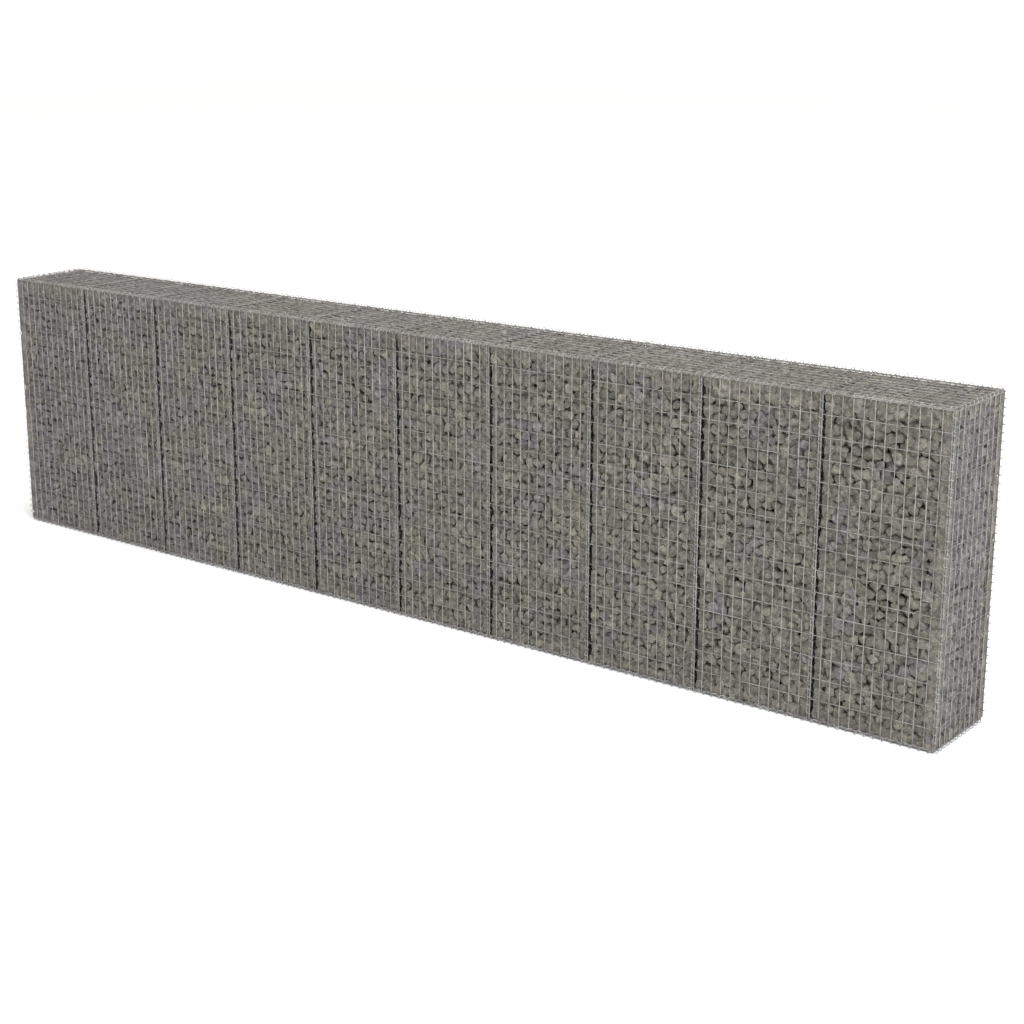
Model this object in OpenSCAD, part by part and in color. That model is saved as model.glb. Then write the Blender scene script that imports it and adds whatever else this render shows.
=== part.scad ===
// Gabion wall: a row of welded-mesh baskets, each filled with stone, bound together along
// every edge with spiral binders and closed on top with mesh lids.
//
// Frame: X runs along the wall, Y through it with the front face towards -Y, and Z is up.
// The origin is on the ground, midway along the wall and midway through it.
// A binder line is the line that a spiral binder turns around. Binder lines are the edges of
// the baskets, and every mesh panel's border wires lie beside them, inside the spirals.

/* [Wall] */
// Number of baskets in the row, up to the ten that have nodes below
bay_count = 10; // [1:1:10]
// Width of one basket, between binder lines
bay_w = 600; // [300:20:1000]
// Depth of the wall, front to back, between binder lines
wall_d = 500; // [300:20:1000]
// Height of the wall, from its lowest binder lines to its highest
wall_h = 1500; // [500:50:2000]

/* [Mesh] */
// Diameter of the mesh wire
wire_d = 4; // [3:0.5:5]
// Spacing of the wires that are modelled, both ways
mesh_pitch = 100; // [75:5:150]
// Depth that two welded wires sink into each other
weld_bite = 0.6; // [0.3:0.1:1]
// Length of wire that stands past the middle of a border wire
wire_past = 0.5; // [0.3:0.1:0.5]
// Clearance between the ends of the wires of two panels that meet at a binder line
corner_clearance = 0.1; // [0.1:0.1:2]

/* [Spiral binders] */
// Diameter of the spiral's wire
spiral_wire_d = 3.2; // [2.5:0.1:4]
// Clearance between a spiral and the border wires inside it
spiral_clearance = 0.4; // [0.2:0.1:1]
// Clearance between a length of spiral and the wires or spirals at its ends
spiral_end_gap = 1; // [0.5:0.5:3]

/* [Stone fill] */
// Gap between the stone and the spirals at the edges of its basket
fill_gap = 4.4; // [1:0.1:15]
// Gap between the stone and the mesh under and over it
fill_seat = 1; // [0.5:0.5:5]

/* [Ground] */
// Clearance between the lowest spirals and the ground
spiral_lift = 0.3; // [0.1:0.1:2]

/* [Hidden] */
BAR_SIDES = 4;
ROUND = 48;
wire_r = wire_d / 2;
// The two layers of a welded mesh lie this far apart, centre to centre
layer_step = wire_d - weld_bite;
// Distance from a binder line to the border wires of the panels that it binds, which keeps
// the wire ends of one panel clear of the second layer of the next
border_in = wire_past + layer_step + wire_r + corner_clearance;
// A border wire of the second layer is this far from the binder line, across the panel
second_in = sqrt(border_in * border_in - layer_step * layer_step);
spiral_inner_r = border_in + wire_r + spiral_clearance;
spiral_outer_r = spiral_inner_r + spiral_wire_d;
wall_w = bay_count * bay_w;
left_x = -wall_w / 2;
front_y = -wall_d / 2;
back_y = wall_d / 2;
fill_in = spiral_outer_r + fill_gap;
base_z = spiral_outer_r + spiral_lift;
top_z = base_z + wall_h;

// Places of the wires along a panel's side, as distances from its first binder line:
// one border wire at each end and evenly spaced wires between them.
function wire_places(span, pitch, border) =
    let (cells = max(1, round(span / pitch)))
    [for (i = [0 : cells]) i == 0 ? border : i == cells ? span - border : span * i / cells];

// The free lengths between neighbouring wires where a spiral can run, as [start, end].
function spiral_runs(span) =
    let (wires = wire_places(span, mesh_pitch, border_in), corner = spiral_outer_r + spiral_end_gap)
    [for (i = [0 : len(wires) - 2]) [
        max(wires[i] + wire_r + spiral_end_gap, corner),
        min(wires[i + 1] - wire_r - spiral_end_gap, span - corner)
    ]];

// X of the binder line at a joint: joint 0 is the left end of the wall.
function joint_x(joint) = left_x + joint * bay_w;

// A straight wire along Z, with its corners on the panel's axes.
module bar(length) {
    cylinder(h = length, d = wire_d, $fn = BAR_SIDES);
}

// Welded mesh in the XY plane, from the corner where two binder lines meet. Its X wires lie
// at Z = 0 and its Y wires lie one layer away, on the side that layer_side gives.
module mesh_panel(size_x, size_y, layer_side) {
    x_places = wire_places(size_x, mesh_pitch, second_in);
    y_places = wire_places(size_y, mesh_pitch, border_in);
    for (y = y_places)
        translate([second_in - wire_past, y, 0])
            rotate([0, 90, 0])
                bar(size_x - 2 * (second_in - wire_past));
    for (x = x_places)
        translate([x, border_in - wire_past, layer_side * layer_step])
            rotate([-90, 0, 0])
                bar(size_y - 2 * (border_in - wire_past));
}

// Upright panel along the wall. Its uprights lie on the binder plane and its cross wires
// lie one layer inwards, which is towards +Y where inward is 1.
module long_panel(bay, face_y, inward) {
    translate([joint_x(bay - 1), face_y, base_z])
        rotate([0, -90, -90])
            mesh_panel(wall_h, bay_w, inward);
}

// Upright panel through the wall, with its cross wires one layer towards +X or -X.
module cross_panel(joint, cross_side) {
    translate([joint_x(joint), front_y, base_z])
        rotate([0, -90, 0])
            mesh_panel(wall_h, wall_d, -cross_side);
}

// Flat panel over or under one basket.
module flat_panel(bay, z, layer_side) {
    translate([joint_x(bay - 1), front_y, z])
        mesh_panel(bay_w, wall_d, layer_side);
}

module front_panel(bay) {
    color([0.75, 0.75, 0.73])
        if (bay <= bay_count)
            long_panel(bay, front_y, 1);
}

module back_panel(bay) {
    color([0.75, 0.75, 0.73])
        if (bay <= bay_count)
            long_panel(bay, back_y, -1);
}

module end_panel_left() {
    color([0.75, 0.75, 0.73])
        cross_panel(0, 1);
}

module end_panel_right() {
    color([0.75, 0.75, 0.73])
        cross_panel(bay_count, -1);
}

// The dividers that stand between the baskets, from the first joint to the last.
module dividers(first, last) {
    color([0.68, 0.68, 0.66])
        for (joint = [1 : bay_count - 1])
            if (joint >= first && joint <= last)
                cross_panel(joint, 1);
}

module lids(first, last) {
    color([0.78, 0.78, 0.76])
        for (bay = [1 : bay_count])
            if (bay >= first && bay <= last)
                flat_panel(bay, top_z, 1);
}

module base_panels(first, last) {
    color([0.68, 0.68, 0.66])
        for (bay = [1 : bay_count])
            if (bay >= first && bay <= last)
                flat_panel(bay, base_z, -1);
}

// Stone inside one basket. It rests on the base mesh, and in each cell of that mesh it
// comes through between the wires and stands on the ground.
module stone_fill(bay) {
    under_z = base_z + wire_r + fill_seat;
    over_z = top_z - wire_r - fill_seat;
    columns = wire_places(bay_w, mesh_pitch, 0);
    rows = wire_places(wall_d, mesh_pitch, 0);
    color([0.5, 0.49, 0.45])
        if (bay <= bay_count)
            translate([joint_x(bay - 1), front_y, 0]) {
                translate([fill_in, fill_in, under_z])
                    cube([bay_w - 2 * fill_in, wall_d - 2 * fill_in, over_z - under_z]);
                for (i = [0 : len(columns) - 2])
                    for (j = [0 : len(rows) - 2])
                        translate([columns[i] + fill_in, rows[j] + fill_in, 0])
                            cube([
                                columns[i + 1] - columns[i] - 2 * fill_in,
                                rows[j + 1] - rows[j] - 2 * fill_in,
                                under_z + fill_seat
                            ]);
            }
}

// Spiral binder along Z, as the tube that its turns fill, in lengths that end clear of the
// mesh wires that pass between the turns.
module spiral(span) {
    for (run = spiral_runs(span))
        translate([0, 0, run[0]])
            difference() {
                cylinder(h = run[1] - run[0], r = spiral_outer_r, $fn = ROUND);
                translate([0, 0, -1])
                    cylinder(h = run[1] - run[0] + 2, r = spiral_inner_r, $fn = ROUND);
            }
}

module upright_spiral(joint, y) {
    translate([joint_x(joint), y, base_z])
        spiral(wall_h);
}

module joint_spirals(y) {
    color([0.8, 0.8, 0.78])
        for (joint = [1 : bay_count - 1])
            upright_spiral(joint, y);
}

module corner_spirals() {
    color([0.8, 0.8, 0.78])
        for (joint = [0, bay_count])
            for (y = [front_y, back_y])
                upright_spiral(joint, y);
}

// The spirals around every basket at one level: along the front and back edges of the
// baskets and across the wall at every joint and end.
module level_spirals(z) {
    color([0.8, 0.8, 0.78]) {
        for (bay = [1 : bay_count])
            for (y = [front_y, back_y])
                translate([joint_x(bay - 1), y, z])
                    rotate([0, 90, 0])
                        spiral(bay_w);
        for (joint = [0 : bay_count])
            translate([joint_x(joint), front_y, z])
                rotate([-90, 0, 0])
                    spiral(wall_d);
    }
}

front_panel(1);  // front_panel_01
front_panel(2);  // front_panel_02
front_panel(3);  // front_panel_03
front_panel(4);  // front_panel_04
front_panel(5);  // front_panel_05
front_panel(6);  // front_panel_06
front_panel(7);  // front_panel_07
front_panel(8);  // front_panel_08
front_panel(9);  // front_panel_09
front_panel(10);  // front_panel_10
back_panel(1);  // back_panel_01
back_panel(2);  // back_panel_02
back_panel(3);  // back_panel_03
back_panel(4);  // back_panel_04
back_panel(5);  // back_panel_05
back_panel(6);  // back_panel_06
back_panel(7);  // back_panel_07
back_panel(8);  // back_panel_08
back_panel(9);  // back_panel_09
back_panel(10);  // back_panel_10
end_panel_left();
end_panel_right();
dividers(1, 3);  // dividers_left
dividers(4, 6);  // dividers_middle
dividers(7, 9);  // dividers_right
lids(1, 5);  // lids_left
lids(6, 10);  // lids_right
base_panels(1, 5);  // base_panels_left
base_panels(6, 10);  // base_panels_right
stone_fill(1);  // stone_fill_01
stone_fill(2);  // stone_fill_02
stone_fill(3);  // stone_fill_03
stone_fill(4);  // stone_fill_04
stone_fill(5);  // stone_fill_05
stone_fill(6);  // stone_fill_06
stone_fill(7);  // stone_fill_07
stone_fill(8);  // stone_fill_08
stone_fill(9);  // stone_fill_09
stone_fill(10);  // stone_fill_10
joint_spirals(front_y);  // front_joint_spirals
joint_spirals(back_y);  // back_joint_spirals
corner_spirals();
level_spirals(top_z);  // top_spirals
level_spirals(base_z);  // base_spirals
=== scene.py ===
"""Looks of a gabion wall: ten welded-mesh baskets of broken stone, bound with spiral wire.

The wall runs along X, its front faces -Y, and Z is up. All sizes are in metres.
Binder lines are the edges of the baskets, which the spirals turn around.
"""
import math
import random

import bpy
from mathutils import Matrix, Vector, kdtree, noise


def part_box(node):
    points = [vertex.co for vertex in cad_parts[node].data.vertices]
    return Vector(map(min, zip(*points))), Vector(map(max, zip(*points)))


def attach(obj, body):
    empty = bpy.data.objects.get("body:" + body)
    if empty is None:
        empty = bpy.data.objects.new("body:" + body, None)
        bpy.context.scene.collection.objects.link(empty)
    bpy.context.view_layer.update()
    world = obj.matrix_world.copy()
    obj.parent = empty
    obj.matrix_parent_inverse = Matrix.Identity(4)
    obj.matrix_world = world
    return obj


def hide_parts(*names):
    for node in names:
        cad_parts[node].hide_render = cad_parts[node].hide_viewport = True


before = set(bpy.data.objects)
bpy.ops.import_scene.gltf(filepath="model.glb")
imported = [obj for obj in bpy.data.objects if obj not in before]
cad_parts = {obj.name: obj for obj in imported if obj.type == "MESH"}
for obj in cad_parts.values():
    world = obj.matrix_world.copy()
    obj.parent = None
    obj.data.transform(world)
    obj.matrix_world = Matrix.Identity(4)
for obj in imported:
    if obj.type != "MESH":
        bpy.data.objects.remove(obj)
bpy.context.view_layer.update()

MM = 0.001

# Camera, with its angles in degrees, and stage
CAMERA_PLACE = (6.1134, -7.3962, 3.2352)
CAMERA_TURN = 40.221
CAMERA_DIP = 14.904
CAMERA_ROLL = -0.808
CAMERA_LENS = 66.178
CAMERA_SENSOR = 36.0
CAMERA_SHIFT = (0.103, -0.0308)
CAMERA_REACH = 100.0
WORLD_LIGHT = 1.085
FLOOR_SIZE = 80.0

# Welded mesh
WIRE_D = 4.0 * MM
LAYER_STEP = 3.4 * MM
BORDER_IN = 6.0 * MM
SECOND_IN = math.sqrt(BORDER_IN ** 2 - LAYER_STEP ** 2)
WIRE_STUB = 0.5 * MM
CLOSE_PITCH = 50.0 * MM
WIDE_PITCH = 100.0 * MM
WIRE_SIDES = 8
WIRE_KINK = 0.35 * MM
WIRE_CUT_STEP = 0.3
WIRE_SMOOTH = math.radians(50)

# Dusting and painted shade on the mesh: least and most on its X wires and on its Y wires;
# the spread is dusting, and the Y wires' larger share is painted shade that darkens them
X_WIRE_DUST_AND_SHADE = (0.0, 0.3)
Y_WIRE_DUST_AND_SHADE = (0.6, 0.9)
BETWEEN_DUST_AND_SHADE_SHARES = 0.5
# Painted shade along the wall: at the right end of the front the level wires have less and the
# upright ones more
LEVEL_DUST_AND_SHADE_LESS = 0.4
LEVEL_DUST_AND_SHADE_STEP = 0.1
LEVEL_DUST_AND_SHADE_MOST = 0.35
UPRIGHT_DUST_AND_SHADE_MORE = 0.15
UPRIGHT_DUST_AND_SHADE_STEP = 0.03
# The dark colour that the dusting and the painted shade mix into the zinc
DUST_AND_SHADE_COLOUR = (0.150, 0.145, 0.130)

# Spirals
SPIRAL_WIRE_D = 3.2 * MM
SPIRAL_OUTER_R = 11.6 * MM
SPIRAL_R = SPIRAL_OUTER_R - SPIRAL_WIRE_D / 2
UPRIGHT_PITCH = 37.5 * MM
ACROSS_PITCH = 40.0 * MM
LONG_TURNS = 14
SPIRAL_STEPS = 12
SPIRAL_SIDES = 5
SPIRAL_CORNER = SPIRAL_OUTER_R + 1.0 * MM
SPIRAL_FLATNESS = 0.72
SPIRAL_SMOOTH = math.radians(80)
LEAD_STEP = 0.5 * MM
# Mesh wires pass a spiral this many degrees round from square to the wall
WIRE_PASSES = 20

# Stone shapes, with cuts measured as part of a stone's size
STONE_SIZE = 50.0 * MM
STONE_SHAPES = 16
SHAPE_SEED = 77
STONE_CUTS = 9
STONE_CUT_DEPTH = (0.31, 0.42)
STONE_LENGTH = (0.95, 1.15)
STONE_THICKNESS = (0.78, 0.98)
STONE_SMOOTH = math.radians(34)
STONE_FACES = 44
BACKING_FACES = 16

# How the stones lie over a face, as parts of their size or spacing
STONE_SIZES = (0.74, 0.88, 1.0, 1.0, 1.12, 1.28)
ROW_STEP = 0.88
ROW_SHIFT = 0.25
PLACE_SPREAD = 0.3
SPREAD_PASSES = 8
SPREAD_NEIGHBOURS = 7
STONES_TOUCH = 0.48
PUSH_SHARE = 0.45
KEEP_IN = 0.42
STONE_GROWTH = 1.24
STONE_INSET = 0.33
UNEVEN_MM = 5.0
BACKING_SPACING = STONE_SIZE * 1.25
BASE_SPACING = STONE_SIZE * 1.1

# Room round the stones of a basket
FILL_SEED = 4200
STONE_JOINT_GAP = 4.0 * MM
LEFT_SLIT = 8.5 * MM
RIGHT_SLIT = 2.5 * MM
TOP_LAYER = 32.0 * MM
STONE_MESH_GAP = 7.5 * MM
STONE_LID_GAP = 6.0 * MM
STONE_BASE_GAP = 3.0 * MM
STONE_SETTLE = 7.0 * MM
# How much is left of what stands past a side when a stone is pressed flat
STONE_CROWN = 0.1

# Stones along the edges of a basket: size, step, inset as part of the size, and the
# least and the most that a stone settles
OUTER_EDGE = (76.0 * MM, 25.0 * MM, 0.17, (-3.5 * MM, -2.0 * MM))
JOINT_EDGE = (56.0 * MM, 37.0 * MM, 0.24, (-3.0 * MM, 13.0 * MM))
LONG_EDGE = (58.0 * MM, 36.0 * MM, 0.22, (-2.0 * MM, 5.0 * MM))
EDGE_START = STONE_SIZE * 0.4
EDGE_SIZES = (0.85, 1.2)

# Tint: patches of purple grey over the wall, more of it to the left and at the ends
PATCH_SCALE = 5.0
PATCH_SHARE = 0.75
PATCH_SPREAD = 0.16
TINT_DRIFT = 0.07
FAR_DRIFT = 0.13
FAR_FROM_X = -1.0
END_TINT = 0.31
END_SPREAD = 0.35

# What lies behind the stones that show
BACKING_DEPTH = 20.0 * MM
# Backing stones get a lighter tone: painted light on stones that lie in the shade behind the
# others
BACKING_PAINTED_LIGHT = 0.4
CORE_DEPTH = 60.0 * MM
CORE_LEFT_GAP = 2.0 * WIRE_D
CORE_RIGHT_GAP = WIRE_D
CORE_CUTS = 9
CORE_LUMPS = 12 * MM
PLUG_LEFT = 1.2 * WIRE_D
PLUG_RIGHT = 2.2 * WIRE_D
PLUG_GAP = 0.5 * MM

# Finish of the zinc
ZINC_RELIEF = 0.3 * MM
ZINC_METAL = 0.5
ZINC_ROUGHNESS = 0.78
ZINC_SHINE = 0.4
STAIN_SHARE = 0.4
GRAIN_SHARE = 0.6
DUST_AND_SHADE_COVER = 0.68

# Finish of the stone
STONE_RELIEF = 9.0 * MM
STONE_ROUGHNESS = 0.72
STONE_DULLNESS = 0.25
CRYSTAL_SCALE = 950.0
CRYSTAL_SHARE = 0.75
PITTING_SCALE = 70.0
DENT_SHARE = 0.6

# Sockets of a Mix node that mixes colours
MIX_FACTOR, MIX_FIRST, MIX_SECOND, MIX_RESULT = 0, 6, 7, 2

# The baskets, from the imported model
BAYS = sum(name.startswith("front_panel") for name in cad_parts)
corner_low, corner_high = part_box("corner_spirals")
LEFT_X = corner_low.x + SPIRAL_OUTER_R
RIGHT_X = corner_high.x - SPIRAL_OUTER_R
FRONT_Y = corner_low.y + SPIRAL_OUTER_R
BACK_Y = corner_high.y - SPIRAL_OUTER_R
BASE_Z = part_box("base_spirals")[0].z + SPIRAL_OUTER_R
TOP_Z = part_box("top_spirals")[1].z - SPIRAL_OUTER_R
BAY_W = (RIGHT_X - LEFT_X) / BAYS
WALL_D = BACK_Y - FRONT_Y
WALL_H = TOP_Z - BASE_Z

# Turns that lay a piece's own axes along the wall's
UPRIGHT_LONG = Matrix(((0, 1, 0), (0, 0, 1), (1, 0, 0))).to_4x4()
UPRIGHT_CROSS = Matrix(((0, 0, -1), (0, 1, 0), (1, 0, 0))).to_4x4()
AXIS_TO_X = Matrix(((0, 0, 1), (1, 0, 0), (0, 1, 0))).to_4x4()
AXIS_TO_Y = UPRIGHT_LONG


def joint_x(joint):
    """X of the binder line at a joint: joint 0 is the left end of the wall."""
    return LEFT_X + joint * BAY_W


# ---------------------------------------------------------------- camera and light

def make_camera():
    """The camera stands off the right end, above the wall, and looks along it to the left."""
    bpy.ops.object.camera_add(location=CAMERA_PLACE)
    camera = bpy.context.object
    turn = Matrix.Rotation(math.radians(CAMERA_TURN), 3, "Z")
    dip = Matrix.Rotation(math.radians(90.0 - CAMERA_DIP), 3, "X")
    roll = Matrix.Rotation(math.radians(CAMERA_ROLL), 3, "Z")
    camera.rotation_euler = (turn @ dip @ roll).to_euler()
    camera.data.lens = CAMERA_LENS
    camera.data.sensor_width = CAMERA_SENSOR
    camera.data.shift_x, camera.data.shift_y = CAMERA_SHIFT
    camera.data.clip_end = CAMERA_REACH
    bpy.context.scene.camera = camera


def area_light(name, location, target, size, power, colour):
    bpy.ops.object.light_add(type="AREA", location=location)
    light = bpy.context.object
    light.name = name
    light.data.shape = "DISK"
    light.data.size = size
    light.data.energy = power
    light.data.color = colour
    facing = Vector(target) - Vector(location)
    light.rotation_euler = facing.to_track_quat("-Z", "Y").to_euler()


def make_stage():
    world = bpy.data.worlds.new("studio")
    bpy.context.scene.world = world
    world.use_nodes = True
    background = world.node_tree.nodes["Background"]
    background.inputs["Color"].default_value = (1.0, 0.98, 0.95, 1.0)
    background.inputs["Strength"].default_value = WORLD_LIGHT
    area_light("key", (14.5, -7.0, 11.0), (0.0, 0.0, 0.7), 5.5, 2860.0, (0.90, 0.93, 1.0))
    area_light("fill", (-5.0, -12.0, 5.0), (-1.0, 0.0, 0.7), 6.0, 200.0, (1.0, 0.97, 0.92))
    area_light("top", (0.0, 1.0, 9.5), (0.0, 0.0, 1.5), 6.0, 350.0, (1.0, 1.0, 0.98))

    deselect()
    bpy.ops.mesh.primitive_plane_add(size=FLOOR_SIZE, location=(0.0, 0.0, 0.0))
    floor = bpy.context.object
    floor.name = "floor"
    material = bpy.data.materials.new("pale_floor")
    material.use_nodes = True
    shader = material.node_tree.nodes["Principled BSDF"]
    shader.inputs["Base Color"].default_value = (0.95, 0.95, 0.95, 1.0)
    shader.inputs["Roughness"].default_value = 0.9
    floor.data.materials.append(material)
    bpy.context.scene.view_settings.view_transform = "Standard"


# ---------------------------------------------------------------- mesh helpers

def deselect():
    bpy.ops.object.select_all(action="DESELECT")


def settle(piece, name, material, *nodes, slot):
    """Name a finished piece, give it its finish and let it stand for its CAD nodes."""
    piece.name = name
    piece.data.name = name
    piece.data.materials.clear()
    piece.data.materials.append(material)
    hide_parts(*nodes)
    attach(piece, "root")


def copy_of(piece, placement):
    """A copy with its own mesh, moved by a matrix that is applied to the mesh."""
    copy = piece.copy()
    copy.data = piece.data.copy()
    copy.data.transform(placement)
    bpy.context.collection.objects.link(copy)
    return copy


def join(pieces):
    deselect()
    for piece in pieces:
        piece.select_set(True)
    bpy.context.view_layer.objects.active = pieces[0]
    if len(pieces) > 1:
        bpy.ops.object.join()
    return pieces[0]


def note(mesh, label, value):
    """Give every point of a mesh the same value, for its finish to read."""
    layer = mesh.attributes.new(label, "FLOAT", "POINT")
    layer.data.foreach_set("value", [value] * len(mesh.vertices))


def discard(pieces):
    for piece in pieces:
        mesh = piece.data
        bpy.data.objects.remove(piece)
        bpy.data.meshes.remove(mesh)


# ---------------------------------------------------------------- welded mesh

def wire_places(span, pitch, border):
    """Distances of a panel's wires from its first binder line, with a border wire at each end."""
    cells = round(span / pitch)
    inner = [span * i / cells for i in range(1, cells)]
    return [border] + inner + [span - border]


def wire(length, middle, turn, dust_and_shade, seed):
    """One straight wire, subdivided along its length and a little out of true."""
    deselect()
    bpy.ops.mesh.primitive_cylinder_add(
        vertices=WIRE_SIDES, radius=WIRE_D / 2, depth=length, end_fill_type="NGON",
        location=middle, rotation=turn)
    piece = bpy.context.object
    bpy.ops.object.transform_apply(location=True, rotation=True, scale=True)
    bpy.ops.object.mode_set(mode="EDIT")
    bpy.ops.mesh.select_mode(type="EDGE")
    bpy.ops.mesh.select_all(action="DESELECT")
    bpy.ops.object.mode_set(mode="OBJECT")
    along = 0 if turn[1] else 1
    for edge in piece.data.edges:
        ends = [piece.data.vertices[i].co[along] for i in edge.vertices]
        edge.select = abs(ends[0] - ends[1]) > length / 2
    bpy.ops.object.mode_set(mode="EDIT")
    bpy.ops.mesh.subdivide(number_cuts=max(2, round(length / WIRE_CUT_STEP)))
    bpy.ops.mesh.select_all(action="SELECT")
    bpy.ops.transform.vertex_random(offset=WIRE_KINK, uniform=0.0, normal=0.0, seed=seed)
    bpy.ops.object.mode_set(mode="OBJECT")
    # Each point keeps the wire's share of dusting and painted shade, for its finish to read
    note(piece.data, "wire_dust_and_shade", dust_and_shade)
    return piece


def mesh_panel(size_x, size_y, x_pitch, y_pitch, layer, seed):
    """Welded mesh in the XY plane: X wires spaced by y_pitch at Z = 0, Y wires one layer off."""
    rng = random.Random(seed)
    wires = []
    x_length = size_x - 2 * (SECOND_IN - WIRE_STUB)
    y_length = size_y - 2 * (BORDER_IN - WIRE_STUB)
    for y in wire_places(size_y, y_pitch, BORDER_IN):
        seed += 1
        wires.append(wire(x_length, (size_x / 2, y, 0.0), (0.0, math.pi / 2, 0.0),
                          rng.uniform(*X_WIRE_DUST_AND_SHADE), seed))
    for x in wire_places(size_x, x_pitch, SECOND_IN):
        seed += 1
        middle = (x, size_y / 2, layer * LAYER_STEP)
        wires.append(wire(y_length, middle, (-math.pi / 2, 0.0, 0.0),
                          rng.uniform(*Y_WIRE_DUST_AND_SHADE), seed))
    panel = join(wires)
    bpy.ops.object.shade_smooth_by_angle(angle=WIRE_SMOOTH)
    return panel


def dust_and_shade_wires(panel, on_level, on_upright):
    """Give a panel's level and upright wires more dusting and painted shade, or less."""
    for point in panel.data.attributes["wire_dust_and_shade"].data:
        point.value += on_level if point.value > BETWEEN_DUST_AND_SHADE_SHARES else on_upright


def make_mesh_panels(metal):
    """Every panel of mesh, each basket's own copy in its own place."""
    long_front = mesh_panel(WALL_H, BAY_W, WIDE_PITCH, CLOSE_PITCH, layer=1, seed=100)
    long_back = mesh_panel(WALL_H, BAY_W, WIDE_PITCH, CLOSE_PITCH, layer=-1, seed=200)
    for bay in range(1, BAYS + 1):
        front = Matrix.Translation((joint_x(bay - 1), FRONT_Y, BASE_Z)) @ UPRIGHT_LONG
        back = Matrix.Translation((joint_x(bay - 1), BACK_Y, BASE_Z)) @ UPRIGHT_LONG
        face = copy_of(long_front, front)
        # Painted shade: the level wires get more towards the left end, the upright ones towards
        # the right
        from_right = BAYS - bay
        on_level = LEVEL_DUST_AND_SHADE_STEP * from_right - LEVEL_DUST_AND_SHADE_LESS
        on_upright = UPRIGHT_DUST_AND_SHADE_MORE - UPRIGHT_DUST_AND_SHADE_STEP * from_right
        dust_and_shade_wires(face, min(on_level, LEVEL_DUST_AND_SHADE_MOST), max(on_upright, 0.0))
        settle(face, f"front_mesh_{bay:02d}", metal, f"front_panel_{bay:02d}",
               slot="mesh_wire")
        settle(copy_of(long_back, back), f"back_mesh_{bay:02d}", metal,
               f"back_panel_{bay:02d}", slot="mesh_wire")

    cross_left = mesh_panel(WALL_H, WALL_D, WIDE_PITCH, CLOSE_PITCH, layer=-1, seed=300)
    cross_right = mesh_panel(WALL_H, WALL_D, WIDE_PITCH, CLOSE_PITCH, layer=1, seed=400)

    def cross_place(joint):
        return Matrix.Translation((joint_x(joint), FRONT_Y, BASE_Z)) @ UPRIGHT_CROSS

    settle(copy_of(cross_left, cross_place(0)), "end_mesh_left", metal,
           "end_panel_left", slot="mesh_wire")
    settle(copy_of(cross_right, cross_place(BAYS)), "end_mesh_right", metal,
           "end_panel_right", slot="mesh_wire")
    for part, joints in (("left", (1, 2, 3)), ("middle", (4, 5, 6)), ("right", (7, 8, 9))):
        group = join([copy_of(cross_left, cross_place(joint)) for joint in joints])
        settle(group, f"divider_mesh_{part}", metal, f"dividers_{part}", slot="mesh_wire")

    lid = mesh_panel(BAY_W, WALL_D, WIDE_PITCH, CLOSE_PITCH, layer=1, seed=500)
    base = mesh_panel(BAY_W, WALL_D, WIDE_PITCH, CLOSE_PITCH, layer=-1, seed=600)
    for part, bays in (("left", range(1, 6)), ("right", range(6, BAYS + 1))):
        lids = [copy_of(lid, Matrix.Translation((joint_x(bay - 1), FRONT_Y, TOP_Z)))
                for bay in bays]
        bases = [copy_of(base, Matrix.Translation((joint_x(bay - 1), FRONT_Y, BASE_Z)))
                 for bay in bays]
        settle(join(lids), f"lid_mesh_{part}", metal, f"lids_{part}", slot="mesh_wire")
        settle(join(bases), f"base_mesh_{part}", metal, f"base_panels_{part}",
               slot="mesh_wire")
    discard([long_front, long_back, cross_left, cross_right, lid, base])


# ---------------------------------------------------------------- spiral binders

def outer_shift(angle, outward, pitch):
    """How far a turn moves along its spiral at an angle, so that it lies flatter outside.

    outward is the direction of the outer side, across the spiral."""
    past_outward = angle - math.atan2(outward[1], outward[0])
    return SPIRAL_FLATNESS * pitch / (2 * math.pi) * math.sin(past_outward)


def clear_lead(crossings, outward, pitch):
    """The start of the first turn that keeps the spiral furthest from the wires it passes.

    A crossing is (distance along the spiral, angle around it in degrees)."""
    def clearance(lead):
        gaps = []
        for distance, angle in crossings:
            shift = outer_shift(math.radians(angle), outward, pitch)
            away = (lead - pitch * angle / 360 + shift - distance) % pitch
            gaps.append(min(away, pitch - away))
        return min(gaps)

    return max((i * LEAD_STEP for i in range(round(pitch / LEAD_STEP))), key=clearance)


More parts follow.
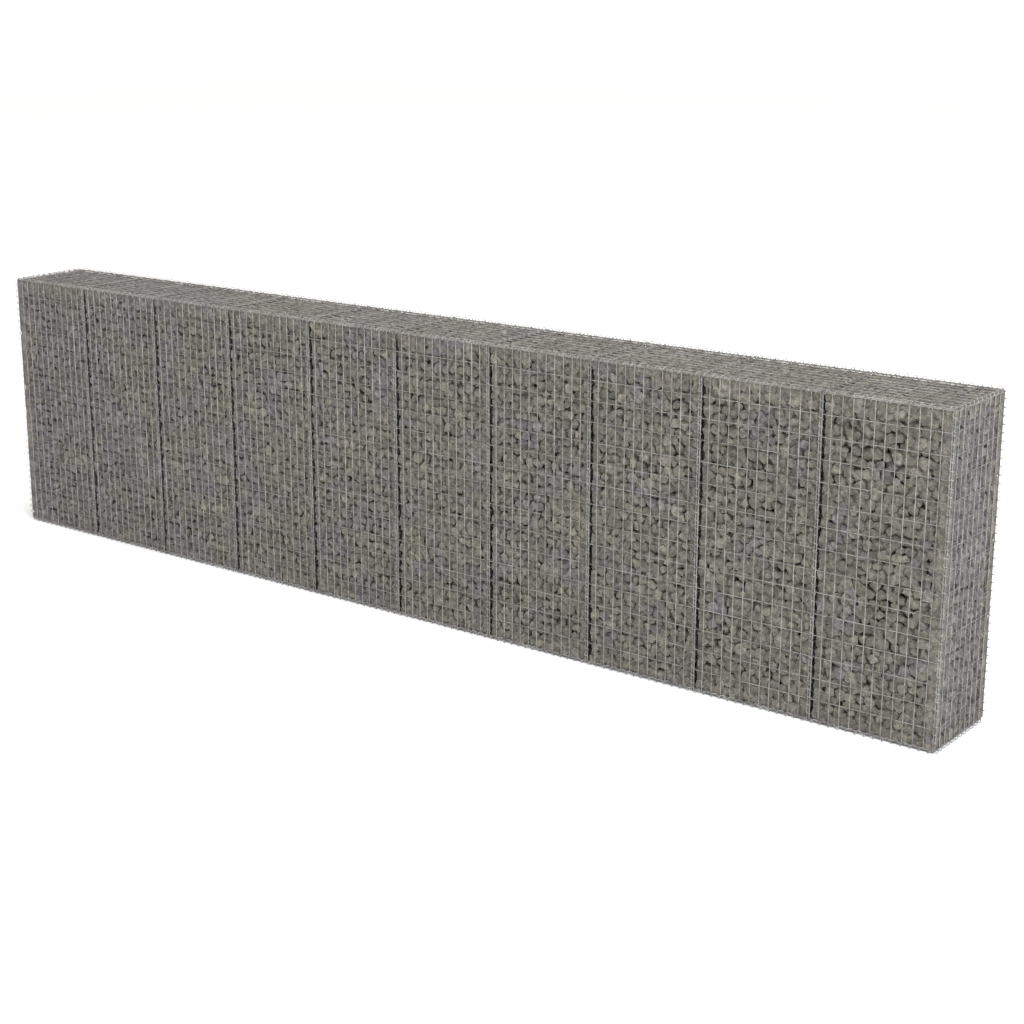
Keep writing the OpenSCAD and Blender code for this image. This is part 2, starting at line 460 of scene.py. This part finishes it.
def spiral(length, crossings, outward, pitch):
    """A left-hand spiral along +Z, which stops SPIRAL_CORNER short of each end of its length."""
    lead = clear_lead(crossings, outward, pitch)
    run = length - 2 * SPIRAL_CORNER
    turns = run / pitch
    deselect()
    lean = math.atan2(pitch, 2 * math.pi * SPIRAL_R)
    bpy.ops.mesh.primitive_circle_add(
        vertices=SPIRAL_SIDES, radius=SPIRAL_WIRE_D / 2, fill_type="NOTHING",
        location=(SPIRAL_R, 0.0, 0.0), rotation=(math.pi / 2 - lean, 0.0, 0.0))
    piece = bpy.context.object
    bpy.ops.object.transform_apply(location=True, rotation=True, scale=True)
    screw = piece.modifiers.new("turns", "SCREW")
    screw.axis = "Z"
    screw.angle = -2 * math.pi * turns
    screw.screw_offset = run
    screw.iterations = 1
    screw.steps = round(SPIRAL_STEPS * turns)
    screw.render_steps = screw.steps
    bpy.ops.object.modifier_apply(modifier="turns")
    bpy.ops.object.mode_set(mode="EDIT")
    bpy.ops.mesh.select_all(action="SELECT")
    bpy.ops.mesh.fill_holes(sides=SPIRAL_SIDES)
    bpy.ops.mesh.select_all(action="SELECT")
    bpy.ops.mesh.normals_make_consistent(inside=False)
    bpy.ops.object.mode_set(mode="OBJECT")
    start_angle = 2 * math.pi * (lead - SPIRAL_CORNER) / pitch
    piece.data.transform(Matrix.Rotation(start_angle, 4, "Z"))
    for vertex in piece.data.vertices:
        from_end = min(vertex.co.z, run - vertex.co.z)
        reach = min(max(2 * from_end / pitch, 0.0), 1.0)
        angle = math.atan2(vertex.co.y, vertex.co.x)
        vertex.co.z += reach * outer_shift(angle, outward, pitch)
    piece.data.transform(Matrix.Translation((0.0, 0.0, SPIRAL_CORNER)))
    bpy.ops.object.shade_smooth_by_angle(angle=SPIRAL_SMOOTH)
    return piece


def make_spirals(metal):
    levels = wire_places(WALL_H, WIDE_PITCH, SECOND_IN)
    close_cross = wire_places(WALL_D, CLOSE_PITCH, BORDER_IN)
    length = RIGHT_X - LEFT_X
    close_long = [joint * BAY_W + place for joint in range(BAYS)
                  for place in wire_places(BAY_W, CLOSE_PITCH, BORDER_IN)]
    wide_long = [joint * BAY_W + place for joint in range(BAYS)
                 for place in wire_places(BAY_W, WIDE_PITCH, SECOND_IN)]

    def upright(x, y, outward, angles):
        crossings = [(level, angle) for level in levels for angle in angles]
        piece = spiral(WALL_H, crossings, outward, UPRIGHT_PITCH)
        piece.data.transform(Matrix.Translation((x, y, BASE_Z)))
        return piece

    inner_joints = [joint_x(joint) for joint in range(1, BAYS)]
    right, inward, left = WIRE_PASSES, 90 - WIRE_PASSES, 180 - WIRE_PASSES
    front = join([upright(x, FRONT_Y, (0, -1), (right, inward, left)) for x in inner_joints])
    settle(front, "joint_binders_front", metal, "front_joint_spirals", slot="spiral_wire")
    back = join([upright(x, BACK_Y, (0, 1), (-right, -inward, -left)) for x in inner_joints])
    settle(back, "joint_binders_back", metal, "back_joint_spirals", slot="spiral_wire")
    corners = join([
        upright(LEFT_X, FRONT_Y, (-1, -1), (right, inward)),
        upright(RIGHT_X, FRONT_Y, (1, -1), (180 - inward, left)),
        upright(LEFT_X, BACK_Y, (-1, 1), (-right, -inward)),
        upright(RIGHT_X, BACK_Y, (1, 1), (inward - 180, -left))])
    settle(corners, "corner_binders", metal, "corner_spirals", slot="spiral_wire")

    def level_binders(z, side):
        """All the spirals at one level; side is 1 under the lids and -1 over the base."""
        pieces = []
        at_front = WIRE_PASSES * side
        for y, away, lid_angle in ((FRONT_Y, -1, at_front), (BACK_Y, 1, 180 - at_front)):
            crossings = [(place, -90 * side) for place in close_long]
            crossings += [(place, lid_angle) for place in wide_long]
            piece = spiral(length, crossings, (away, side), BAY_W / LONG_TURNS)
            piece.data.transform(Matrix.Translation((LEFT_X, y, z)) @ AXIS_TO_X)
            pieces.append(piece)
        crossings = [(place, angle) for place in close_cross[1:-1]
                     for angle in (90, 180 if side > 0 else 0, 270)]
        for joint in range(BAYS + 1):
            away = (joint == BAYS) - (joint == 0)
            piece = spiral(WALL_D, crossings, (side, away), ACROSS_PITCH)
            start = Matrix.Translation((joint_x(joint), FRONT_Y, z))
            piece.data.transform(start @ AXIS_TO_Y)
            pieces.append(piece)
        return join(pieces)

    settle(level_binders(TOP_Z, 1), "top_binders", metal, "top_spirals", slot="spiral_wire")
    settle(level_binders(BASE_Z, -1), "base_binders", metal, "base_spirals",
           slot="spiral_wire")


# ---------------------------------------------------------------- stone

def random_direction(rng):
    return Vector((rng.gauss(0, 1), rng.gauss(0, 1), rng.gauss(0, 1))).normalized()


def stone_shape(rng, faces):
    """One broken stone, a ball cut by flat planes and thinned: its corners and its faces."""
    deselect()
    bpy.ops.mesh.primitive_ico_sphere_add(subdivisions=3, radius=0.5, location=(0, 0, 0))
    piece = bpy.context.object
    bpy.ops.object.mode_set(mode="EDIT")
    for _ in range(STONE_CUTS):
        facing = random_direction(rng)
        bpy.ops.mesh.select_all(action="SELECT")
        bpy.ops.mesh.bisect(
            plane_co=facing * rng.uniform(*STONE_CUT_DEPTH), plane_no=facing,
            use_fill=True, clear_outer=True)
    bpy.ops.mesh.select_all(action="SELECT")
    bpy.ops.mesh.quads_convert_to_tris()
    bpy.ops.object.mode_set(mode="OBJECT")
    thin = piece.modifiers.new("thin", "DECIMATE")
    thin.ratio = faces / len(piece.data.polygons)
    bpy.ops.object.modifier_apply(modifier="thin")
    low = [min(v.co[i] for v in piece.data.vertices) for i in range(3)]
    high = [max(v.co[i] for v in piece.data.vertices) for i in range(3)]
    size = max(b - a for a, b in zip(low, high))
    centre = Vector((a + b) / 2 for a, b in zip(low, high))
    piece.data.transform(Matrix.Scale(1 / size, 4) @ Matrix.Translation(-centre))
    shape = ([v.co.copy() for v in piece.data.vertices],
             [tuple(p.vertices) for p in piece.data.polygons])
    discard([piece])
    return shape


def scatter(width, height, spacing, rng):
    """Places for stones on a face, as (across, up, size), spread until they just touch."""
    columns = max(1, round(width / spacing))
    rows = max(1, round(height / (spacing * ROW_STEP)))
    stones = []
    for row in range(rows):
        for column in range(columns):
            shift = ROW_SHIFT if row % 2 else -ROW_SHIFT
            stray = rng.uniform(-PLACE_SPREAD, PLACE_SPREAD)
            across = (column + 0.5 + shift + stray) / columns * width
            stray = rng.uniform(-PLACE_SPREAD, PLACE_SPREAD)
            up = (row + 0.5 + stray) / rows * height
            size = spacing * rng.choice(STONE_SIZES)
            stones.append([across, up, size])
    for _ in range(SPREAD_PASSES):
        tree = kdtree.KDTree(len(stones))
        for index, (across, up, _size) in enumerate(stones):
            tree.insert((across, up, 0.0), index)
        tree.balance()
        moves = []
        for index, (across, up, size) in enumerate(stones):
            push = Vector((0.0, 0.0))
            for place, other, gap in tree.find_n((across, up, 0.0), SPREAD_NEIGHBOURS):
                wanted = (size + stones[other][2]) * STONES_TOUCH
                if other != index and 0 < gap < wanted:
                    away = Vector((across - place.x, up - place.y)) / gap
                    push += away * (wanted - gap) * PUSH_SHARE
            moves.append(push)
        for stone, push in zip(stones, moves):
            half = stone[2] * KEEP_IN
            stone[0] = min(max(stone[0] + push.x, half), width - half)
            stone[1] = min(max(stone[1] + push.y, half), height - half)
    return stones


class Fill:
    """The stones of one basket, which lie inside a box and are pressed flat against its sides.

    Slits are left beside the dividers, one at each end of the box, up to the top layer."""

    def __init__(self, low, high, slits, seed):
        self.low, self.high, self.slits = low, high, slits
        self.rng = random.Random(seed)
        self.points, self.faces, self.tones, self.tints = [], [], [], []

    def press(self, points, centre, settle_by):
        """Flatten what stands past the sides, as a stone laid by hand against mesh is flat."""
        low = [side + self.rng.uniform(*settle_by) for side in self.low]
        high = [side - self.rng.uniform(*settle_by) for side in self.high]
        if centre.z < self.high.z - TOP_LAYER:
            low[0] += self.slits[0]
            high[0] -= self.slits[1]
        for point in points:
            for i in range(3):
                past = min(point[i] - low[i], 0.0) + max(point[i] - high[i], 0.0)
                point[i] -= past * (1.0 - STONE_CROWN)

    def lay(self, shape, centre, size, settle_by=(0.0, STONE_SETTLE), painted_light=0.0,
            at_end=False):
        """Lay one stone, turned at random, with a tone and a tint of its own."""
        corners, faces = shape
        angle = self.rng.uniform(0, 2 * math.pi)
        turn = Matrix.Rotation(angle, 4, random_direction(self.rng))
        stretch = Matrix.Diagonal((size * self.rng.uniform(*STONE_LENGTH), size,
                                   size * self.rng.uniform(*STONE_THICKNESS), 1.0))
        place = Matrix.Translation(centre) @ turn @ stretch
        points = [place @ corner for corner in corners]
        self.press(points, centre, settle_by)
        first = len(self.points)
        self.points += points
        self.faces += [[first + i for i in face] for face in faces]
        patch = noise.noise(centre * PATCH_SCALE) * PATCH_SHARE
        patch += self.rng.gauss(0.0, PATCH_SPREAD)
        if at_end:
            patch = END_TINT + END_SPREAD * patch
        else:
            far = max(FAR_FROM_X - centre.x, 0.0)
            patch += FAR_DRIFT * far - TINT_DRIFT * centre.x
        # A random tone, raised on the backing stones as painted light against the shade they lie
        # in
        self.tones += [min(self.rng.random() + painted_light, 1.0)] * len(points)
        self.tints += [0.5 + patch] * len(points)

    def build(self, name):
        mesh = bpy.data.meshes.new(name)
        mesh.from_pydata(self.points, [], self.faces)
        for label, values in (("stone_tone", self.tones), ("stone_tint", self.tints)):
            mesh.attributes.new(label, "FLOAT", "POINT").data.foreach_set("value", values)
        piece = bpy.data.objects.new(name, mesh)
        bpy.context.collection.objects.link(piece)
        deselect()
        piece.select_set(True)
        bpy.context.view_layer.objects.active = piece
        bpy.ops.object.shade_smooth_by_angle(angle=STONE_SMOOTH)
        return piece

    def face(self, shapes, axis, side, spacing, depth, painted_light=0.0):
        """Cover one side of the box: axis 0, 1 or 2, and side -1 for its low end or 1."""
        across, up = [i for i in range(3) if i != axis]
        width = self.high[across] - self.low[across]
        height = self.high[up] - self.low[up]
        for u, v, size in scatter(width, height, spacing, self.rng):
            grown = size * STONE_GROWTH
            inset = depth + grown * STONE_INSET + self.rng.uniform(0.0, UNEVEN_MM) * MM
            centre = Vector((0.0, 0.0, 0.0))
            centre[across] = self.low[across] + u
            centre[up] = self.low[up] + v
            centre[axis] = self.low[axis] + inset if side < 0 else self.high[axis] - inset
            self.lay(self.rng.choice(shapes), centre, grown, painted_light=painted_light, at_end=axis == 0)

    def edge(self, shapes, along, ends, size, step, part_in, settle_by):
        """Fill one edge of the box, along an axis: ends has -1 or 1 for each other axis."""
        sides = [i for i in range(3) if i != along]
        place = self.low[along] + EDGE_START
        while place < self.high[along]:
            grown = size * self.rng.uniform(*EDGE_SIZES)
            centre = Vector((place, place, place))
            for i, end in zip(sides, ends):
                slit = self.slits[0 if end < 0 else 1] if i == 0 and along == 2 else 0.0
                inset = slit + grown * part_in
                centre[i] = self.low[i] + inset if end < 0 else self.high[i] - inset
            self.lay(self.rng.choice(shapes), centre, grown, settle_by)
            place += step


def make_fill(stone, shapes, backing_shapes):
    """Fill each basket: stones that show, backing stones behind them, and a packed core."""
    for bay in range(1, BAYS + 1):
        first, last = bay == 1, bay == BAYS
        low = Vector((joint_x(bay - 1) + (STONE_MESH_GAP if first else STONE_JOINT_GAP),
                      FRONT_Y + STONE_MESH_GAP, BASE_Z + STONE_BASE_GAP))
        high = Vector((joint_x(bay) - (STONE_MESH_GAP if last else STONE_JOINT_GAP),
                       BACK_Y - STONE_MESH_GAP, TOP_Z - STONE_LID_GAP))
        slits = (0.0 if first else LEFT_SLIT, 0.0 if last else RIGHT_SLIT)
        fill = Fill(low, high, slits, FILL_SEED + bay)
        sides = [(1, -1), (1, 1), (2, 1)]
        sides += [(0, -1)] * first + [(0, 1)] * last
        for axis, side in sides:
            fill.face(shapes, axis, side, STONE_SIZE, 0.0)
            # The backing stones get a lighter tone, painted light against the shade behind the
            # front stones
            fill.face(backing_shapes, axis, side, BACKING_SPACING, BACKING_DEPTH,
                      BACKING_PAINTED_LIGHT)
        fill.face(backing_shapes, 2, -1, BASE_SPACING, 0.0)
        for end, outer in ((-1, first), (1, last)):
            kind = OUTER_EDGE if outer else JOINT_EDGE
            for along, ends in ((2, (end, -1)), (2, (end, 1)), (1, (end, 1))):
                fill.edge(shapes, along, ends, *kind)
        for side in (-1, 1):
            fill.edge(shapes, 0, (side, 1), *LONG_EDGE)
            fill.edge(backing_shapes, 0, (side, -1), *LONG_EDGE)
        for end in [-1] * first + [1] * last:
            fill.edge(backing_shapes, 1, (end, -1), *OUTER_EDGE)
        settle(fill.build(f"stones_{bay:02d}"), f"stones_{bay:02d}", stone,
               f"stone_fill_{bay:02d}", slot="stone")
        settle(stone_core(bay), f"stone_core_{bay:02d}", stone, f"stone_fill_{bay:02d}",
               slot="stone")


def close_divider_cells(bay):
    """Add stone to the mesh in edit, in two rows of cells of the divider on a basket's right.

    It keeps the light from passing between two baskets."""
    rows = [FRONT_Y + place for place in wire_places(WALL_D, CLOSE_PITCH, BORDER_IN)]
    levels = [BASE_Z + place for place in wire_places(WALL_H, WIDE_PITCH, SECOND_IN)]
    levels[-1] -= TOP_LAYER
    around = Vector((0.0, 1.0, 1.0)) * (WIRE_D / 2 + PLUG_GAP)
    for front, back in (rows[1:3], rows[-3:-1]):
        for under, over in zip(levels, levels[1:]):
            low = Vector((joint_x(bay) - PLUG_LEFT, front, under)) + around
            high = Vector((joint_x(bay) + PLUG_RIGHT, back, over)) - around
            bpy.ops.mesh.primitive_cube_add(size=1.0, location=(low + high) / 2,
                                            scale=high - low)


def stone_core(bay):
    """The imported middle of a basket, a lumpy block that closes what shows between the stones."""
    low = Vector((joint_x(bay - 1) + (CORE_DEPTH if bay == 1 else CORE_LEFT_GAP),
                  FRONT_Y + CORE_DEPTH, BASE_Z + CORE_DEPTH))
    high = Vector((joint_x(bay) - (CORE_DEPTH if bay == BAYS else CORE_RIGHT_GAP),
                   BACK_Y - CORE_DEPTH, TOP_Z - CORE_DEPTH))
    deselect()
    bpy.ops.mesh.primitive_cube_add(size=1.0, location=(low + high) / 2,
                                    scale=high - low)
    piece = bpy.context.object
    bpy.ops.object.transform_apply(location=True, rotation=True, scale=True)
    bpy.ops.object.mode_set(mode="EDIT")
    bpy.ops.mesh.subdivide(number_cuts=CORE_CUTS)
    bpy.ops.transform.vertex_random(offset=CORE_LUMPS, uniform=0.0, normal=0.0, seed=bay)
    bpy.ops.object.mode_set(mode="OBJECT")
    for vertex in piece.data.vertices:
        vertex.co.x = min(max(vertex.co.x, low.x), high.x)
    if bay < BAYS:
        bpy.ops.object.mode_set(mode="EDIT")
        close_divider_cells(bay)
        bpy.ops.object.mode_set(mode="OBJECT")
    # The core gets the lightest tone: painted light that lightens the shade in the gaps between
    # the stones
    note(piece.data, "stone_tone", 1.0)
    note(piece.data, "stone_tint", 0.5)
    return piece


# ---------------------------------------------------------------- materials

def new_group(name, inputs, outputs):
    """A shader node group with named float inputs and named outputs."""
    group = bpy.data.node_groups.new(name, "ShaderNodeTree")
    for label, value in inputs:
        socket = group.interface.new_socket(
            label, in_out="INPUT", socket_type="NodeSocketFloat")
        socket.default_value = value
    for label, kind in outputs:
        group.interface.new_socket(label, in_out="OUTPUT", socket_type=kind)
    return group, group.nodes.new("NodeGroupInput"), group.nodes.new("NodeGroupOutput")


def node(tree, kind, **settings):
    made = tree.nodes.new(kind)
    for key, value in settings.items():
        setattr(made, key, value)
    return made


def feed(tree, socket, value):
    """Set a socket to a number or a colour, or link another node's output to it."""
    if isinstance(value, (int, float)):
        socket.default_value = value
    elif isinstance(value, tuple):
        socket.default_value = (*value, 1.0)
    else:
        tree.links.new(value, socket)


def math_node(tree, operation, first, second):
    made = node(tree, "ShaderNodeMath", operation=operation)
    feed(tree, made.inputs[0], first)
    feed(tree, made.inputs[1], second)
    return made.outputs[0]


def noise_node(tree, coordinate, scale, detail, roughness):
    made = node(tree, "ShaderNodeTexNoise")
    feed(tree, made.inputs["Vector"], coordinate)
    feed(tree, made.inputs["Scale"], scale)
    feed(tree, made.inputs["Detail"], detail)
    feed(tree, made.inputs["Roughness"], roughness)
    return made.outputs["Fac"]


def ramp_node(tree, value, stops):
    made = node(tree, "ShaderNodeValToRGB")
    elements = made.color_ramp.elements
    while len(elements) < len(stops):
        elements.new(0.5)
    for element, (position, colour) in zip(elements, stops):
        element.position = position
        element.color = (*colour, 1.0)
    tree.links.new(value, made.inputs["Fac"])
    return made.outputs["Color"]


def mix_colour(tree, blend, factor, first, second):
    made = node(tree, "ShaderNodeMix", data_type="RGBA", blend_type=blend)
    feed(tree, made.inputs[MIX_FACTOR], factor)
    feed(tree, made.inputs[MIX_FIRST], first)
    feed(tree, made.inputs[MIX_SECOND], second)
    return made.outputs[MIX_RESULT]


def finish_material(colour, roughness, height, distance, metallic, tree):
    shader = tree.nodes["Principled BSDF"]
    shader.inputs["Metallic"].default_value = metallic
    tree.links.new(colour, shader.inputs["Base Color"])
    tree.links.new(roughness, shader.inputs["Roughness"])
    bump = node(tree, "ShaderNodeBump")
    bump.inputs["Strength"].default_value = 1.0
    bump.inputs["Distance"].default_value = distance
    tree.links.new(height, bump.inputs["Height"])
    tree.links.new(bump.outputs["Normal"], shader.inputs["Normal"])


def new_material(name):
    material = bpy.data.materials.new(name)
    material.use_nodes = True
    return material, material.node_tree


def grime_group():
    """Mottling that the zinc and the stone share: broad stains and fine grain."""
    group, inputs, outputs = new_group(
        "mottle", [("Broad scale", 8.0), ("Fine scale", 120.0)],
        [("Broad", "NodeSocketFloat"), ("Fine", "NodeSocketFloat")])
    coordinate = node(group, "ShaderNodeTexCoord").outputs["Object"]
    for label, detail, output in (("Broad scale", 3.0, "Broad"), ("Fine scale", 4.0, "Fine")):
        texture = noise_node(group, coordinate, inputs.outputs[label], detail, 0.5)
        group.links.new(texture, outputs.inputs[output])
    return group


def place_group(tree, group, **values):
    made = node(tree, "ShaderNodeGroup", node_tree=group)
    for label, value in values.items():
        made.inputs[label.replace("_", " ").capitalize()].default_value = value
    return made


def zinc(name, mottle, light, dull):
    """Galvanised wire: light-coloured zinc with duller weathered patches, stone dusting and
    painted shade.
    """
    material, tree = new_material(name)
    marks = place_group(tree, mottle, broad_scale=9.0, fine_scale=75.0)
    stains = math_node(tree, "MULTIPLY", marks.outputs["Broad"], STAIN_SHARE)
    grain = math_node(tree, "MULTIPLY", marks.outputs["Fine"], GRAIN_SHARE)
    mask = math_node(tree, "ADD", stains, grain)
    colour = ramp_node(tree, mask, ((0.40, dull), (0.60, light)))
    # Dusting and painted shade: a dark colour mixed in by each wire's value, most on the widely
    # spaced wires
    dust_and_shade = node(tree, "ShaderNodeAttribute", attribute_name="wire_dust_and_shade").outputs["Fac"]
    cover = math_node(tree, "MULTIPLY", dust_and_shade, DUST_AND_SHADE_COVER)
    colour = mix_colour(tree, "MIX", cover, colour, DUST_AND_SHADE_COLOUR)
    shine = math_node(tree, "MULTIPLY", mask, ZINC_SHINE)
    roughness = math_node(tree, "SUBTRACT", ZINC_ROUGHNESS, shine)
    finish_material(colour, roughness, marks.outputs["Fine"], ZINC_RELIEF, ZINC_METAL, tree)
    return material


def broken_stone(mottle):
    """Broken grey stone: olive grey with purple grey pieces, mottled, grained and dusty."""
    material, tree = new_material("broken_stone")
    coordinate = node(tree, "ShaderNodeTexCoord").outputs["Object"]
    tone = node(tree, "ShaderNodeAttribute", attribute_name="stone_tone").outputs["Fac"]
    tint = node(tree, "ShaderNodeAttribute", attribute_name="stone_tint").outputs["Fac"]
    marks = place_group(tree, mottle, broad_scale=38.0, fine_scale=150.0)
    hue = ramp_node(tree, tint, (
        (0.0, (0.167, 0.1545, 0.131)), (0.55, (0.161, 0.1505, 0.130)),
        (0.68, (0.159, 0.1485, 0.135)), (0.82, (0.160, 0.1465, 0.146)),
        (1.0, (0.161, 0.1475, 0.151))))
    # Each stone's tone is random, and raised on the backing stones and the core as painted light
    shade = ramp_node(tree, tone, ((0.0, (0.76, 0.76, 0.76)), (0.6, (0.95, 0.95, 0.95)),
                                   (0.88, (1.08, 1.08, 1.07)), (1.0, (1.30, 1.30, 1.27))))
    colour = mix_colour(tree, "MULTIPLY", 1.0, hue, shade)
    patches = ramp_node(tree, marks.outputs["Broad"], ((0.34, (0.60, 0.60, 0.61)),
                                                       (0.50, (0.96, 0.96, 0.95)),
                                                       (0.66, (1.26, 1.26, 1.22))))
    colour = mix_colour(tree, "MULTIPLY", 1.0, colour, patches)
    speckle = ramp_node(tree, marks.outputs["Fine"], ((0.34, (0.66, 0.66, 0.67)),
                                                      (0.52, (1.0, 1.0, 1.0)),
                                                      (0.70, (1.30, 1.30, 1.26))))
    colour = mix_colour(tree, "MULTIPLY", 1.0, colour, speckle)
    crystals = noise_node(tree, coordinate, CRYSTAL_SCALE, 2.0, 0.5)
    grain = ramp_node(tree, crystals, ((0.36, (0.55, 0.55, 0.56)), (0.44, (0.96, 0.96, 0.96)),
                                       (0.60, (1.02, 1.02, 1.02)), (0.70, (1.55, 1.54, 1.50))))
    colour = mix_colour(tree, "MULTIPLY", CRYSTAL_SHARE, colour, grain)
    relief = noise_node(tree, coordinate, PITTING_SCALE, 8.0, 0.68)
    dents = math_node(tree, "MULTIPLY", marks.outputs["Broad"], DENT_SHARE)
    height = math_node(tree, "ADD", relief, dents)
    dullness = math_node(tree, "MULTIPLY", marks.outputs["Fine"], STONE_DULLNESS)
    roughness = math_node(tree, "ADD", STONE_ROUGHNESS, dullness)
    finish_material(colour, roughness, height, STONE_RELIEF, 0.0, tree)
    return material


# ---------------------------------------------------------------- the wall

make_camera()
make_stage()
mottle = grime_group()
mesh_zinc = zinc("mesh_zinc", mottle, (0.39, 0.382, 0.363), (0.18, 0.176, 0.163))
spiral_zinc = zinc("spiral_zinc", mottle, (0.37, 0.364, 0.352), (0.195, 0.191, 0.182))
stone = broken_stone(mottle)
make_mesh_panels(mesh_zinc)
make_spirals(spiral_zinc)
shape_rng = random.Random(SHAPE_SEED)
shapes = [stone_shape(shape_rng, STONE_FACES) for _ in range(STONE_SHAPES)]
backing_shapes = [stone_shape(shape_rng, BACKING_FACES) for _ in range(STONE_SHAPES)]
make_fill(stone, shapes, backing_shapes)
